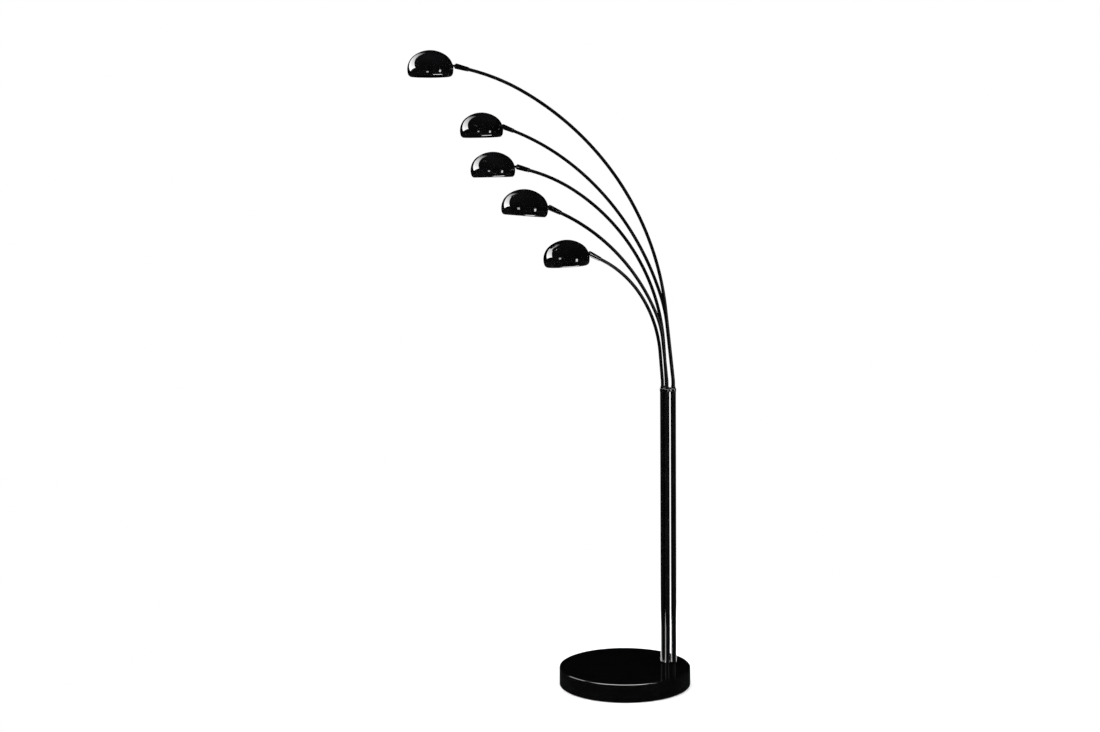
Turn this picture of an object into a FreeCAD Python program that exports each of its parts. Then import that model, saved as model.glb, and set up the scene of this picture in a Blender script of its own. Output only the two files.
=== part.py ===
import FreeCAD, Part
import math
import os
from FreeCAD import Placement, Rotation, Vector

# Tree floor lamp: five curved arms rise out of a bundle of five slim stems on a round
# stone base. Millimetres, +Z up. The origin is the centre of the base on the floor, the
# stems stand on +X, and the arms lean towards -X.

# ---- base -------------------------------------------------------------------
BASE_R = 200.0            # stone disc
BASE_THICK = 55.0
BASE_TOP_ROUND = 3.5      # polished round along the top edge
BASE_FOOT_ROUND = 1.5
PAD_THICK = 2.0           # felt sheet under the stone
PAD_INSET = 6.0           # the felt stops this far inside the stone's edge
COLUMN_OFFSET = 144.0     # middle of the stems from the centre of the base
POCKET_R = 36.0           # wiring pocket under the column
POCKET_DEPTH = 28.0       # from the underside of the stone
COVER_R = 44.0            # steel plate that closes the pocket
COVER_THICK = 2.0
COVER_RECESS = 1.0        # the plate lies this far above the underside
COVER_SCREW_COUNT = 3
COVER_SCREW_R = 2.0
COVER_SCREW_HEAD_R = 4.0
COVER_SCREW_LENGTH = 12.0

# ---- stems, cap and foot ------------------------------------------------------
STEM_R = 7.4              # five slim tubes, one under each arm
STEM_WALL = 1.2
RING_R = 18.0             # circle of the five stems
RING_FIRST_DEG = 164.0    # place of the lowest arm's stem on that circle, from +X
STEM_COUNT = 5
STEMS_AND_CAP = 850.0     # from the stone to the top of the cap
CAP_THICK = 10.0
CAP_LOBE_R = 8.1          # round lobe of the cap over each stem
CAP_ROUND = 1.5
CAP_SPIGOT = 14.0         # part of the cap inside each stem
ANCHOR_PLUG = 25.0        # part of the anchor inside the stem's foot
ANCHOR_R = 5.0            # hollow thread of the anchor, down through the stone
ANCHOR_BORE_R = 3.3
ANCHOR_BELOW_NUT = 3.0
FOOT_NUT_FLATS = 14.0
FOOT_NUT_THICK = 8.0
FOOT_NUT_FLANGE_R = 8.5
FOOT_NUT_FLANGE = 2.0
GUIDE_DEPTH = 156.0       # top of a guide bush below the top of the cap
GUIDE_LENGTH = 12.0

# ---- wiring -----------------------------------------------------------------
LEAD_R = 3.0              # sheathed twin lead
TERMINAL_R = 26.0
TERMINAL_BORE_R = 9.0
TERMINAL_THICK = 8.0
TERMINAL_HOLE_DEPTH = 5.0
GLAND_R = 6.0             # barrel of the cord gland
GLAND_BORE_R = 3.5
GLAND_FLANGE_R = 9.0
GLAND_FLANGE_THICK = 2.5
GLAND_NOSE = 5.5
GLAND_NOSE_R = 5.2
GLAND_HEIGHT = 20.0       # axis above the floor
GLAND_INSIDE = 3.0        # the barrel ends this far inside the pocket

# ---- arms -------------------------------------------------------------------
ARM_R = 5.0
ARM_WALL = 1.5
COLLAR_HEIGHT = 5.0       # stop rings above the cap and below the guide bush
TAIL_BELOW_COLLAR = 3.0
FOOT_START = 14.0         # the arm leaves the vertical this far above the cap
FOOT_BEND_R = 150.0
TIP_RUN = 48.0            # straight end of the arm, up to the centre of the ball

# One entry for each arm, the highest first.
#   slot    its stem's place on the ring, counted clockwise from the lowest arm
#   fan     direction of the arm from -X towards +Y, degrees
#   lean    how far the foot bend turns the arm from the vertical, degrees
#   run     straight length above the foot bend
#   r1, a1  radius and angle of the lower long bend
#   r2, a2  radius and angle of the upper long bend
#   tilt    how far the shade's arm side stands up, degrees
ARMS = {
    "arm_1": dict(slot=3, fan=14.0, lean=6.0, run=210.0, r1=860.0, a1=54.0, r2=610.0, a2=15.0, tilt=0.0),
    "arm_2": dict(slot=2, fan=41.0, lean=6.5, run=160.0, r1=420.0, a1=12.0, r2=820.0, a2=50.5, tilt=1.0),
    "arm_3": dict(slot=1, fan=24.0, lean=3.5, run=110.0, r1=600.0, a1=53.5, r2=480.0, a2=16.5, tilt=0.5),
    "arm_4": dict(slot=4, fan=-5.0, lean=6.0, run=115.0, r1=285.0, a1=18.0, r2=600.0, a2=41.0, tilt=-5.0),
    "arm_5": dict(slot=0, fan=-9.0, lean=5.0, run=80.0, r1=360.0, a1=32.5, r2=335.0, a2=26.5, tilt=3.5),
}

# ---- ball joint -------------------------------------------------------------
BALL_R = 6.6
NECK_R = 3.25
STUD_BORE_R = 2.0
STUD_THREAD = 10.0        # length of the stud inside the lamp holder
SLEEVE_FRONT_R = 8.0
SLEEVE_REAR_R = 6.5
SLEEVE_LENGTH = 42.0
SLEEVE_LIP = 3.2          # the lip closes over the ball this far past its centre
SLEEVE_ROUND = 2.0

# ---- shade, holder and bulb ---------------------------------------------------
SHADE_R = 68.0            # greatest radius, at the equator
SHADE_RISE = 56.0         # from the equator to the crown
SHADE_SIDE_BEND = 50.0    # radius of the profile's bend beside the equator
SHADE_SIDE_DEG = 15.0     # that bend runs on this far below the equator
SHADE_CURL = 12.0         # radius of the curl that tucks the rim in
SHADE_RIM_DEG = 68.5      # slope of the wall's normal at the rim, below the level
SHADE_WALL = 1.0
STUD_HEIGHT = 10.0        # the stud enters this far above the equator
STUD_RISE_DEG = 8.0       # and climbs into the shade at this angle
BALL_TO_WALL = 9.0        # from the ball's centre to the shade's face
BUSH_R = 6.0
BUSH_FLANGE_R = 8.0
BUSH_PROUD = 0.4
BUSH_DEPTH = 14.6         # from the ball's centre to the flat end of the bush
STOP_PIN_R = 0.9          # pin on the bush that ends the shade's turn
STOP_CIRCLE_R = 5.8
STOP_PIN_HEIGHT = 1.2
TURN_LIMIT_DEG = 90.0
HOLDER_NECK_R = 8.0
HOLDER_NECK = 5.0
HOLDER_R = 13.0
HOLDER_CONE = 4.0
HOLDER_BODY = 24.0
HOLDER_FLOOR = 11.0       # solid end of the holder behind the cap of the bulb
BULB_CAP_R = 7.0
BULB_CAP_LENGTH = 20.0
BULB_R = 22.5
BULB_NECK = 12.0          # from the holder's mouth to where the globe starts

# ---- clearances -------------------------------------------------------------
RUN_CLEAR = 0.06          # turning fits
SEAT_CLEAR = 0.05         # pieces that slide together and stay
LOOSE_CLEAR = 0.3         # gap beside a loose piece
HOLE_CLEAR = 0.25         # clearance holes

# ---- worked out -------------------------------------------------------------
STONE_LOW = PAD_THICK
STONE_TOP = STONE_LOW + BASE_THICK
COVER_LOW = STONE_LOW + COVER_RECESS
COVER_TOP = COVER_LOW + COVER_THICK
POCKET_TOP = STONE_LOW + POCKET_DEPTH
CAP_TOP = STONE_TOP + STEMS_AND_CAP
STEM_TOP = CAP_TOP - CAP_THICK
STEM_BORE_R = STEM_R - STEM_WALL
STEM_FILL_R = STEM_BORE_R - SEAT_CLEAR
COLLAR_R = STEM_BORE_R - LOOSE_CLEAR
GUIDE_TOP = CAP_TOP - GUIDE_DEPTH
GUIDE_LOW = GUIDE_TOP - GUIDE_LENGTH
LOWER_COLLAR_TOP = GUIDE_LOW - LOOSE_CLEAR
UPPER_COLLAR_LOW = CAP_TOP + LOOSE_CLEAR
TAIL_LOW = LOWER_COLLAR_TOP - COLLAR_HEIGHT - TAIL_BELOW_COLLAR
FOOT_NUT_LOW = POCKET_TOP - FOOT_NUT_THICK
ANCHOR_LOW = FOOT_NUT_LOW - ANCHOR_BELOW_NUT
TERMINAL_TOP = COVER_TOP + TERMINAL_THICK
LEAD_LOW = TERMINAL_TOP - TERMINAL_HOLE_DEPTH
SOCKET_R = BALL_R + SEAT_CLEAR
ARM_BORE_R = ARM_R - ARM_WALL
ARM_END_BACK = math.sqrt(BALL_R ** 2 - ARM_BORE_R ** 2) + LOOSE_CLEAR
LEAD_END_BACK = BALL_R + LOOSE_CLEAR
HOLDER_LOW = BUSH_DEPTH + LOOSE_CLEAR
HOLDER_TOP = HOLDER_LOW + HOLDER_NECK + HOLDER_CONE + HOLDER_BODY
BULB_CENTRE = HOLDER_TOP + BULB_NECK + math.sqrt(BULB_R ** 2 - HOLDER_R ** 2)
SIDE_OFFSET = SHADE_R - SHADE_SIDE_BEND
CROWN_BEND = (SIDE_OFFSET ** 2 + SHADE_RISE ** 2 - SHADE_SIDE_BEND ** 2) / (SHADE_RISE - SHADE_SIDE_BEND) / 2
X_AXIS = Vector(1, 0, 0)
Y_AXIS = Vector(0, 1, 0)
Z_AXIS = Vector(0, 0, 1)


# ---- general shapes ---------------------------------------------------------
def cylinder(radius, low, high, x=0.0, y=0.0):
    """Upright cylinder between two heights."""
    return Part.makeCylinder(radius, high - low, Vector(x, y, low), Z_AXIS)


def x_cylinder(radius, low, high):
    """Cylinder along the X axis."""
    return Part.makeCylinder(radius, high - low, Vector(low, 0, 0), X_AXIS)


def middle_cylinder(radius, low, high):
    """Upright cylinder in the middle of the stems."""
    return cylinder(radius, low, high, COLUMN_OFFSET)


def on_ring(slot):
    """Axis of the stem at one of the five places."""
    angle = math.radians(RING_FIRST_DEG - slot * 360.0 / STEM_COUNT)
    return COLUMN_OFFSET + RING_R * math.cos(angle), RING_R * math.sin(angle)


def ring_of_cylinders(radius, low, high):
    """One upright cylinder at each stem."""
    places = [on_ring(slot) for slot in range(STEM_COUNT)]
    return [cylinder(radius, low, high, x, y) for x, y in places]


def ring_of(shape):
    """Copies of a shape made on the Z axis, one at each stem."""
    copies = []
    for slot in range(STEM_COUNT):
        x, y = on_ring(slot)
        copy = shape.copy()
        copy.translate(Vector(x, y, 0))
        copies.append(copy)
    return copies


def pipe(outer, bore, low, high):
    """Upright pipe on the Z axis."""
    return cylinder(outer, low, high).cut(cylinder(bore, low, high))


def turned(edges, axis):
    """Solid made by turning a closed outline about an axis through the origin."""
    return Part.Face(Part.Wire(edges)).revolve(Vector(0, 0, 0), axis, 360)


def polygon_edges(points):
    """Straight edges through points given as pairs of along and radius."""
    corners = [Vector(along, 0, radius) for along, radius in points]
    return Part.makePolygon(corners + [corners[0]]).Edges


# ---- base and column --------------------------------------------------------
def cover_screw_places():
    """Screw centres, spread round the stems on the middle of the plate's rim."""
    circle_r = (POCKET_R + COVER_R) / 2
    places = []
    for number in range(COVER_SCREW_COUNT):
        angle = math.radians(60.0 + number * 360.0 / COVER_SCREW_COUNT)
        places.append((COLUMN_OFFSET + circle_r * math.cos(angle), circle_r * math.sin(angle)))
    return places


def base_disc():
    disc = cylinder(BASE_R, STONE_LOW, STONE_TOP)
    top_edge = [e for e in disc.Edges if e.BoundBox.ZMin > STONE_TOP - 0.01]
    low_edge = [e for e in disc.Edges if e.BoundBox.ZMax < STONE_LOW + 0.01]
    disc = disc.makeFillet(BASE_TOP_ROUND, top_edge)
    low_edge = [e for e in disc.Edges if e.BoundBox.ZMax < STONE_LOW + 0.01]
    disc = disc.makeFillet(BASE_FOOT_ROUND, low_edge)
    holes = [
        middle_cylinder(POCKET_R, COVER_TOP, POCKET_TOP),
        middle_cylinder(COVER_R + LOOSE_CLEAR, STONE_LOW, COVER_TOP),
    ]
    holes += ring_of_cylinders(ANCHOR_R + HOLE_CLEAR, POCKET_TOP, STONE_TOP)
    for x, y in cover_screw_places():
        holes.append(cylinder(COVER_SCREW_R + SEAT_CLEAR, COVER_TOP, COVER_LOW + COVER_SCREW_LENGTH, x, y))
    flange_seat = BASE_R - GLAND_FLANGE_THICK - LOOSE_CLEAR
    bore = x_cylinder(GLAND_R + SEAT_CLEAR, COLUMN_OFFSET, BASE_R)
    seat = x_cylinder(GLAND_FLANGE_R + LOOSE_CLEAR, flange_seat, BASE_R)
    for hole in (bore, seat):
        hole.translate(Vector(0, 0, GLAND_HEIGHT))
        holes.append(hole)
    return disc.cut(holes)


def floor_pad():
    pad = cylinder(BASE_R - PAD_INSET, 0, PAD_THICK)
    return pad.cut(middle_cylinder(COVER_R + LOOSE_CLEAR, 0, PAD_THICK))


def base_cover():
    plate = middle_cylinder(COVER_R, COVER_LOW, COVER_TOP)
    for x, y in cover_screw_places():
        plate = plate.cut(screw(x, y, HOLE_CLEAR))
    return plate


def screw(x, y, grow):
    """Countersunk screw with its head at the underside, or its hole if it is grown."""
    head = Part.makeCone(
        COVER_SCREW_HEAD_R + grow, COVER_SCREW_R + grow, COVER_THICK, Vector(x, y, COVER_LOW), Z_AXIS)
    return head.fuse(cylinder(COVER_SCREW_R + grow, COVER_LOW, COVER_LOW + COVER_SCREW_LENGTH, x, y))


def cover_screws():
    return Part.makeCompound([screw(x, y, 0.0) for x, y in cover_screw_places()])


def stem(slot):
    x, y = on_ring(slot)
    tube = pipe(STEM_R, STEM_BORE_R, STONE_TOP, STEM_TOP)
    tube.translate(Vector(x, y, 0))
    return tube


def stem_anchors():
    """Plug in the stem's foot with a hollow thread down through the stone."""
    plug = cylinder(STEM_FILL_R, STONE_TOP, STONE_TOP + ANCHOR_PLUG)
    anchor = plug.fuse(cylinder(ANCHOR_R, ANCHOR_LOW, STONE_TOP))
    anchor = anchor.cut(cylinder(ANCHOR_BORE_R, ANCHOR_LOW, STONE_TOP + ANCHOR_PLUG))
    return Part.makeCompound(ring_of(anchor))


def foot_nuts():
    """Flanged nuts that pull the anchors down from inside the pocket."""
    corner = FOOT_NUT_FLATS / math.sqrt(3.0)
    points = []
    for side in range(7):
        angle = math.radians(60.0 * side)
        points.append(Vector(corner * math.cos(angle), corner * math.sin(angle), FOOT_NUT_LOW))
    prism = Part.Face(Part.makePolygon(points)).extrude(Vector(0, 0, FOOT_NUT_THICK))
    nut = prism.fuse(cylinder(FOOT_NUT_FLANGE_R, POCKET_TOP - FOOT_NUT_FLANGE, POCKET_TOP))
    nut = nut.cut(cylinder(ANCHOR_R + SEAT_CLEAR, FOOT_NUT_LOW, POCKET_TOP))
    return Part.makeCompound(ring_of(nut))


def rounded_disc(radius):
    """Disc as thick as the cap, with its top edge rounded."""
    disc = cylinder(radius, STEM_TOP, CAP_TOP)
    top_edge = [e for e in disc.Edges if e.BoundBox.ZMin > CAP_TOP - 0.01]
    return disc.makeFillet(CAP_ROUND, top_edge)


def top_cap():
    """Plate with a lobe over each stem, and a hollow spigot down into each."""
    middle = rounded_disc(RING_R)
    middle.translate(Vector(COLUMN_OFFSET, 0, 0))
    spigot_low = STEM_TOP - CAP_SPIGOT
    cap = middle.fuse(ring_of(rounded_disc(CAP_LOBE_R)))
    cap = cap.fuse(ring_of_cylinders(STEM_FILL_R, spigot_low, STEM_TOP))
    return cap.cut(ring_of_cylinders(ARM_R + RUN_CLEAR, spigot_low, CAP_TOP))


def guide_bushes():
    """Lower bearing of each arm, a bush pressed into its stem."""
    return Part.makeCompound(ring_of(pipe(STEM_FILL_R, ARM_R + RUN_CLEAR, GUIDE_LOW, GUIDE_TOP)))


def terminal_block():
    block = middle_cylinder(TERMINAL_R, COVER_TOP, TERMINAL_TOP)
    holes = [middle_cylinder(TERMINAL_BORE_R, COVER_TOP, TERMINAL_TOP)]
    holes += ring_of_cylinders(LEAD_R + SEAT_CLEAR, LEAD_LOW, TERMINAL_TOP)
    return block.cut(holes)


def cord_gland():
    inner_end = COLUMN_OFFSET + POCKET_R - GLAND_INSIDE
    flange_low = BASE_R - GLAND_FLANGE_THICK - LOOSE_CLEAR
    flange_top = flange_low + GLAND_FLANGE_THICK
    nose_end = flange_top + GLAND_NOSE
    outline = [
        (inner_end, GLAND_BORE_R),
        (inner_end, GLAND_R),
        (flange_low, GLAND_R),
        (flange_low, GLAND_FLANGE_R),
        (flange_top, GLAND_FLANGE_R),
        (flange_top, GLAND_R),
        (nose_end, GLAND_NOSE_R),
        (nose_end, GLAND_BORE_R),
    ]
    gland = turned(polygon_edges(outline), X_AXIS)
    gland.translate(Vector(0, 0, GLAND_HEIGHT))
    return gland


# ---- arms -------------------------------------------------------------------
class Path:
    """Line in the arm's own upright plane: X outwards, Z up, from the vertical."""

    def __init__(self, low):
        self.start = Vector(0, 0, low)
        self.at = self.start
        self.angle = 0.0
        self.edges = []
        self.length = 0.0

    def straight(self, length):
        end = self.at + Vector(math.sin(self.angle), 0, math.cos(self.angle)) * length
        self.edges.append(Part.LineSegment(self.at, end).toShape())
        self.at = end
        self.length += length

    def bend(self, radius, degrees):
        """Arc that turns the line outwards and down."""
        centre = self.at + Vector(math.cos(self.angle), 0, -math.sin(self.angle)) * radius
        turn = math.radians(degrees)

        def point(angle):
            return centre - Vector(math.cos(angle), 0, -math.sin(angle)) * radius

        middle = point(self.angle + turn / 2)
        end = point(self.angle + turn)
        self.edges.append(Part.Arc(self.at, middle, end).toShape())
        self.at = end
        self.angle += turn
        self.length += radius * turn


def arm_path(arm, low, cut_back):
    """Centre line of one arm, from a height inside its stem to short of the ball."""
    path = Path(low)
    path.straight(CAP_TOP + FOOT_START - low)
    path.bend(FOOT_BEND_R, arm["lean"])
    path.straight(arm["run"])
    path.bend(arm["r1"], arm["a1"])
    path.bend(arm["r2"], arm["a2"])
    path.straight(TIP_RUN - cut_back)
    return path


def swept(path, radius):
    """Round bar along a path that starts upright."""
    outline = Part.Wire(Part.makeCircle(radius, path.start, Z_AXIS))
    return Part.Wire(path.edges).makePipeShell([outline], True, False)


def arm_tube(arm):
    path = arm_path(arm, TAIL_LOW, ARM_END_BACK)
    return swept(path, ARM_R).cut(swept(path, ARM_BORE_R))


def arm_lead(arm):
    """Lead from the terminal block, up the stem and through the arm."""
    return swept(arm_path(arm, LEAD_LOW, LEAD_END_BACK), LEAD_R)


def arm_collars():
    collars = []
    for low in (UPPER_COLLAR_LOW, LOWER_COLLAR_TOP - COLLAR_HEIGHT):
        collars.append(pipe(COLLAR_R, ARM_R, low, low + COLLAR_HEIGHT))
    return Part.makeCompound(collars)


# ---- ball joint, along +X with the ball at the origin --------------------------
def joint_sleeve():
    rear = SLEEVE_LIP - SLEEVE_LENGTH
    outline = [
        (rear, 0.0),
        (rear, SLEEVE_REAR_R),
        (-BALL_R, SLEEVE_FRONT_R),
        (SLEEVE_LIP, SLEEVE_FRONT_R),
        (SLEEVE_LIP, 0.0),
    ]
    body = turned(polygon_edges(outline), X_AXIS)
    front_edge = [e for e in body.Edges if e.BoundBox.XMin > SLEEVE_LIP - 0.01]
    body = body.makeFillet(SLEEVE_ROUND, front_edge)
    return body.cut([Part.makeSphere(SOCKET_R), x_cylinder(ARM_R + SEAT_CLEAR, rear, -ARM_END_BACK + ARM_WALL)])


def ball_stud():
    end = HOLDER_LOW + STUD_THREAD
    stud = Part.makeSphere(BALL_R).fuse(x_cylinder(NECK_R, 0, end))
    flare = Part.makeCone(BALL_R - NECK_R, STUD_BORE_R, BALL_R, Vector(-BALL_R, 0, 0), X_AXIS)
    return stud.cut([x_cylinder(STUD_BORE_R, -BALL_R, end), flare])


def stop_groove():
    """Curved slot in the back of the holder, as long as the shade's turn."""
    half = TURN_LIMIT_DEG + math.degrees(STOP_PIN_R / STOP_CIRCLE_R)
    inner = STOP_CIRCLE_R - STOP_PIN_R - LOOSE_CLEAR
    outer = STOP_CIRCLE_R + STOP_PIN_R + LOOSE_CLEAR
    depth = STOP_PIN_HEIGHT + LOOSE_CLEAR
    outline = polygon_edges([(HOLDER_LOW, inner), (HOLDER_LOW, outer), (HOLDER_LOW + depth, outer),
                             (HOLDER_LOW + depth, inner)])
    face = Part.Face(Part.Wire(outline))
    face.rotate(Vector(0, 0, 0), X_AXIS, -half)
    return face.revolve(Vector(0, 0, 0), X_AXIS, 2 * half)


def lamp_holder():
    cone_low = HOLDER_LOW + HOLDER_NECK
    cone_top = cone_low + HOLDER_CONE
    outline = [
        (HOLDER_LOW, 0.0),
        (HOLDER_LOW, HOLDER_NECK_R),
        (cone_low, HOLDER_NECK_R),
        (cone_top, HOLDER_R),
        (HOLDER_TOP, HOLDER_R),
        (HOLDER_TOP, 0.0),
    ]
    body = turned(polygon_edges(outline), X_AXIS)
    stud_hole = x_cylinder(NECK_R + SEAT_CLEAR, HOLDER_LOW, HOLDER_LOW + STUD_THREAD)
    cap_hole = x_cylinder(BULB_CAP_R + HOLE_CLEAR, HOLDER_LOW + HOLDER_FLOOR, HOLDER_TOP)
    return body.cut([stud_hole, cap_hole, stop_groove()])


def bulb():
    """Round bulb: cap, flared neck and globe."""
    cap_low = HOLDER_TOP - BULB_CAP_LENGTH
    seam = HOLDER_TOP + LOOSE_CLEAR
    cap = x_cylinder(BULB_CAP_R, cap_low, seam)
    flare_end = BULB_CENTRE - math.sqrt(BULB_R ** 2 - HOLDER_R ** 2)
    flare = Part.makeCone(BULB_CAP_R, HOLDER_R, flare_end - seam, Vector(seam, 0, 0), X_AXIS)
    globe = Part.makeSphere(BULB_R, Vector(BULB_CENTRE, 0, 0))
    return cap.fuse([flare, globe])


# ---- shade, with its equator round the origin and the arm on its -X side --------
def on_arc(centre, radius, angle):
    """Point of the profile, at an angle above the level."""
    return centre + Vector(math.cos(angle), 0, math.sin(angle)) * radius


def shade_arcs(inset):
    """Profile from crown to rim, three tangent arcs, moved in by the inset."""
    crown_centre = Vector(0, 0, SHADE_RISE - CROWN_BEND)
    side_centre = Vector(SIDE_OFFSET, 0, 0)
    side_end = -math.radians(SHADE_SIDE_DEG)
    curl_centre = on_arc(side_centre, SHADE_SIDE_BEND - SHADE_CURL, side_end)
    shoulder = math.atan2(-crown_centre.z, SIDE_OFFSET)
    arcs = []
    for centre, bend, first, last in (
        (crown_centre, CROWN_BEND, math.pi / 2, shoulder),
        (side_centre, SHADE_SIDE_BEND, shoulder, side_end),
        (curl_centre, SHADE_CURL, side_end, -math.radians(SHADE_RIM_DEG)),
    ):
        middle = (first + last) / 2
        points = [on_arc(centre, bend - inset, angle) for angle in (first, middle, last)]
        arcs.append(Part.Arc(*points).toShape())
    return arcs


def arc_ends(arcs):
    """Crown and rim ends of a profile."""
    return arcs[0].Vertexes[0].Point, arcs[-1].Vertexes[-1].Point


def shade_form(inset):
    """Solid dome inside the profile."""
    arcs = shade_arcs(inset)
    crown, rim = arc_ends(arcs)
    foot = Vector(0, 0, rim.z)
    closing = [Part.LineSegment(rim, foot).toShape(), Part.LineSegment(foot, crown).toShape()]
    return turned(arcs + closing, Z_AXIS)


def wall_point():
    """Where the stud's axis meets the outer face of the shade."""
    reach = SIDE_OFFSET + math.sqrt(SHADE_SIDE_BEND ** 2 - STUD_HEIGHT ** 2)
    return Vector(-reach, 0, STUD_HEIGHT)


def stud_frame():
    """Placement of the stud's axis in the shade: the ball's centre, and the rise."""
    rise = math.radians(STUD_RISE_DEG)
    ball = wall_point() - Vector(math.cos(rise), 0, math.sin(rise)) * BALL_TO_WALL
    return Placement(ball, Rotation(Y_AXIS, -STUD_RISE_DEG))


def placed(shape, placement):
    copy = shape.copy()
    copy.transformShape(placement.toMatrix())
    return copy


def shade():
    outer = shade_arcs(0.0)
    inner = shade_arcs(SHADE_WALL)
    outer_crown, outer_rim = arc_ends(outer)
    inner_crown, inner_rim = arc_ends(inner)
    rim = Part.LineSegment(outer_rim, inner_rim).toShape()
    axis = Part.LineSegment(inner_crown, outer_crown).toShape()
    shell = turned(outer + [rim] + inner[::-1] + [axis], Z_AXIS)
    return shell.cut(placed(x_cylinder(BUSH_R + SEAT_CLEAR, 0, BUSH_DEPTH), stud_frame()))


def shade_bush():
    """Saddle bush: its flange follows the inner face, its barrel fills the hole."""
    flange = placed(x_cylinder(BUSH_FLANGE_R, 0, BUSH_DEPTH), stud_frame())
    flange = flange.common(shade_form(SHADE_WALL))
    barrel = placed(x_cylinder(BUSH_R, 0, BUSH_DEPTH), stud_frame())
    barrel = barrel.common(shade_form(-BUSH_PROUD))
    pin = x_cylinder(STOP_PIN_R, BUSH_DEPTH - BUSH_PROUD, BUSH_DEPTH + STOP_PIN_HEIGHT)
    pin.translate(Vector(0, 0, STOP_CIRCLE_R))
    bore = placed(x_cylinder(NECK_R + RUN_CLEAR, 0, BUSH_DEPTH), stud_frame())
    return flange.fuse([barrel, placed(pin, stud_frame())]).cut(bore)


# ---- places -----------------------------------------------------------------
def arm_placement(arm):
    """From the arm's own plane to the lamp."""
    x, y = on_ring(arm["slot"])
    return Placement(Vector(x, y, 0), Rotation(Z_AXIS, 180.0 - arm["fan"]))


def ball_centre(arm):
    return arm_path(arm, TAIL_LOW, 0.0).at


def tip_slope(arm):
    """Slope of the arm's straight end above the level, degrees."""
    return 90.0 - math.degrees(arm_path(arm, TAIL_LOW, 0.0).angle)


def sleeve_placement(arm):
    return arm_placement(arm) * Placement(ball_centre(arm), Rotation(Y_AXIS, -tip_slope(arm)))


def shade_placement(arm):
    tilted = Placement(ball_centre(arm), Rotation(Y_AXIS, arm["tilt"]))
    back = Placement(-stud_frame().Base, Rotation())
    return arm_placement(arm) * tilted * back


def stud_placement(arm):
    return shade_placement(arm) * stud_frame()


# ---- every piece --------------------------------------------------------------
BASE_AND_COLUMN = {
    "base_disc": base_disc,
    "floor_pad": floor_pad,
    "base_cover": base_cover,
    "cover_screws": cover_screws,
    "stem_anchors": stem_anchors,
    "foot_nuts": foot_nuts,
    "top_cap": top_cap,
    "guide_bushes": guide_bushes,
    "terminal_block": terminal_block,
    "cord_gland": cord_gland,
}


def arm_pieces(arm, common):
    """The nine pieces of one arm, in place."""
    in_plane = arm_placement(arm)
    on_stud = stud_placement(arm)
    in_shade = shade_placement(arm)
    return {
        "tube": placed(arm_tube(arm), in_plane),
        "collars": placed(common["collars"], in_plane),
        "lead": placed(arm_lead(arm), in_plane),
        "joint_sleeve": placed(common["sleeve"], sleeve_placement(arm)),
        "ball_stud": placed(common["stud"], on_stud),
        "lamp_holder": placed(common["holder"], on_stud),
        "bulb": placed(common["bulb"], on_stud),
        "shade_bush": placed(common["bush"], in_shade),
        "shade": placed(common["shade"], in_shade),
    }


def all_pieces():
    pieces = {name: make() for name, make in BASE_AND_COLUMN.items()}
    common = {
        "collars": arm_collars(),
        "sleeve": joint_sleeve(),
        "stud": ball_stud(),
        "holder": lamp_holder(),
        "bulb": bulb(),
        "bush": shade_bush(),
        "shade": shade(),
    }
    for arm_name, arm in ARMS.items():
        pieces["stem_" + arm_name[-1]] = stem(arm["slot"])
        for piece_name, shape in arm_pieces(arm, common).items():
            pieces[arm_name + "_" + piece_name] = shape
    return pieces


os.makedirs("parts", exist_ok=True)
for node, shape in all_pieces().items():
    shape.exportStep(os.path.join("parts", node + ".step"))
    print(node, len(shape.Solids), "solid(s)", round(shape.Volume, 1), "mm3", "valid" if shape.isValid() else "BAD")
for arm_name, arm in ARMS.items():
    path = arm_path(arm, TAIL_LOW, ARM_END_BACK)
    section = math.pi * (ARM_R ** 2 - ARM_BORE_R ** 2)
    print(arm_name, "length", round(path.length, 1), "section times length", round(section * path.length, 1))
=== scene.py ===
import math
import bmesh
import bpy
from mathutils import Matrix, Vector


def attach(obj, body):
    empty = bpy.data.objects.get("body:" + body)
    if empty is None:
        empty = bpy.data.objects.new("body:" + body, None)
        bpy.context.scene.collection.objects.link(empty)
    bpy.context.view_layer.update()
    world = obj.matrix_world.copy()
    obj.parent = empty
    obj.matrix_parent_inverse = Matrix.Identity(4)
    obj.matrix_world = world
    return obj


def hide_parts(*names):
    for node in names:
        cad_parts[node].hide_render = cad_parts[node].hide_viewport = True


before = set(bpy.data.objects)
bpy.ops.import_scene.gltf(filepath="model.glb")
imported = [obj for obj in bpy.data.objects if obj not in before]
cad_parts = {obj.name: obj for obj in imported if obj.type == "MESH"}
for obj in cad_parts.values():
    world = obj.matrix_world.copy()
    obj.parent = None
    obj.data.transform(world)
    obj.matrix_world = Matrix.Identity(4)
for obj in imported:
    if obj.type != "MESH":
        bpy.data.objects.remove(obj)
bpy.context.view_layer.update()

# %% [markdown]
# # A tree floor lamp, piece by piece
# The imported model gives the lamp's real size and its moving bodies. Here each plain piece is
# made again with the roundings, seams and finish that the real one has, and the new piece rides
# on the same body. Everything is in metres, +Z is up, the origin is the centre of the base on
# the floor, the stems stand on +X and the arms lean towards -X.

MM = 0.001

# %% [markdown]
# ## Sizes
# The numbers below are the lamp's own: the stone, the ring of stems, the arms, the shade and
# what it holds. A size is written once here and every piece works from it, so that neighbours
# keep meeting.

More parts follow.
